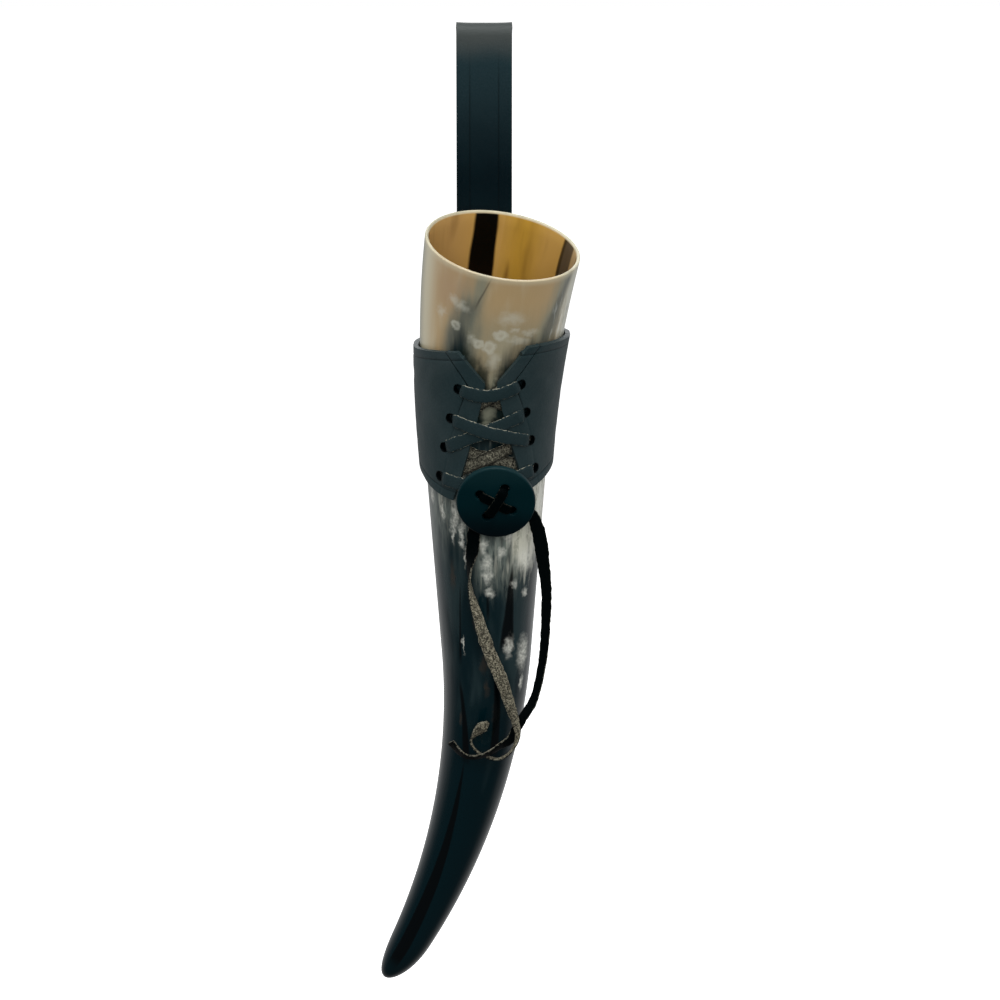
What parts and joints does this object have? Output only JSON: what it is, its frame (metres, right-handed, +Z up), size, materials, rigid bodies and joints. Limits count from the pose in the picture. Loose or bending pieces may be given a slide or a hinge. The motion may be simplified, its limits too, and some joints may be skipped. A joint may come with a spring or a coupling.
{
  "type": "drinking horn in a belt holder",
  "caption": "Curved hollow drinking horn standing in a laced leather cuff with a folded belt loop, a lace button and hanging lace ends; the horn lifts out.",
  "frame": {"origin": "top of the belt loop's inside, on the strap's centre line, where the belt bears", "axes": "+Z up as it hangs from a belt, -Y out of the laced front, +Y towards the wearer's hip, +X to the right seen from the front"},
  "size_m": [0.0898, 0.0935, 0.4385],
  "materials": {
    "horn": "polished natural horn, cream and grey at the mouth, black towards the tip",
    "cuff_leather": "black grain leather, satin",
    "strap_leather": "black grain leather with creased edge lines",
    "lace_leather": "black lace leather, suede on its flesh side",
    "lace_suede": "grey-brown suede flesh side of the lace",
    "button_leather": "black hard leather, edges burnished",
    "rivet_brass": "aged brass"
  },
  "bodies": {
    "holder": {"cuff": "cuff_leather", "belt_strap": "strap_leather", "rivet_upper_post": "rivet_brass", "rivet_upper_cap": "rivet_brass", "rivet_lower_post": "rivet_brass", "rivet_lower_cap": "rivet_brass", "cuff_lace": "lace_leather", "lace_lead_left": "lace_leather", "lace_lead_right": "lace_leather"},
    "horn": {"horn": "horn"},
    "button": {"lace_button": "button_leather", "button_lace_over": "lace_leather", "button_lace_under": "lace_leather", "lace_tail_left": "lace_suede", "lace_tail_right": "lace_leather"}
  },
  "joints": [
    {"name": "horn_draw", "type": "hinge", "parent": "holder", "child": "horn", "pos_m": [-1.2491, -0.0389, -0.15], "axis": [0, -1, 0], "range_deg": [0, 14]},
    {"name": "button_slide", "type": "slide", "parent": "holder", "child": "button", "axis": [0, 0, -1], "range_m": [0, 0.012], "deforming": ["lace_lead_left", "lace_lead_right"]}
  ]
}
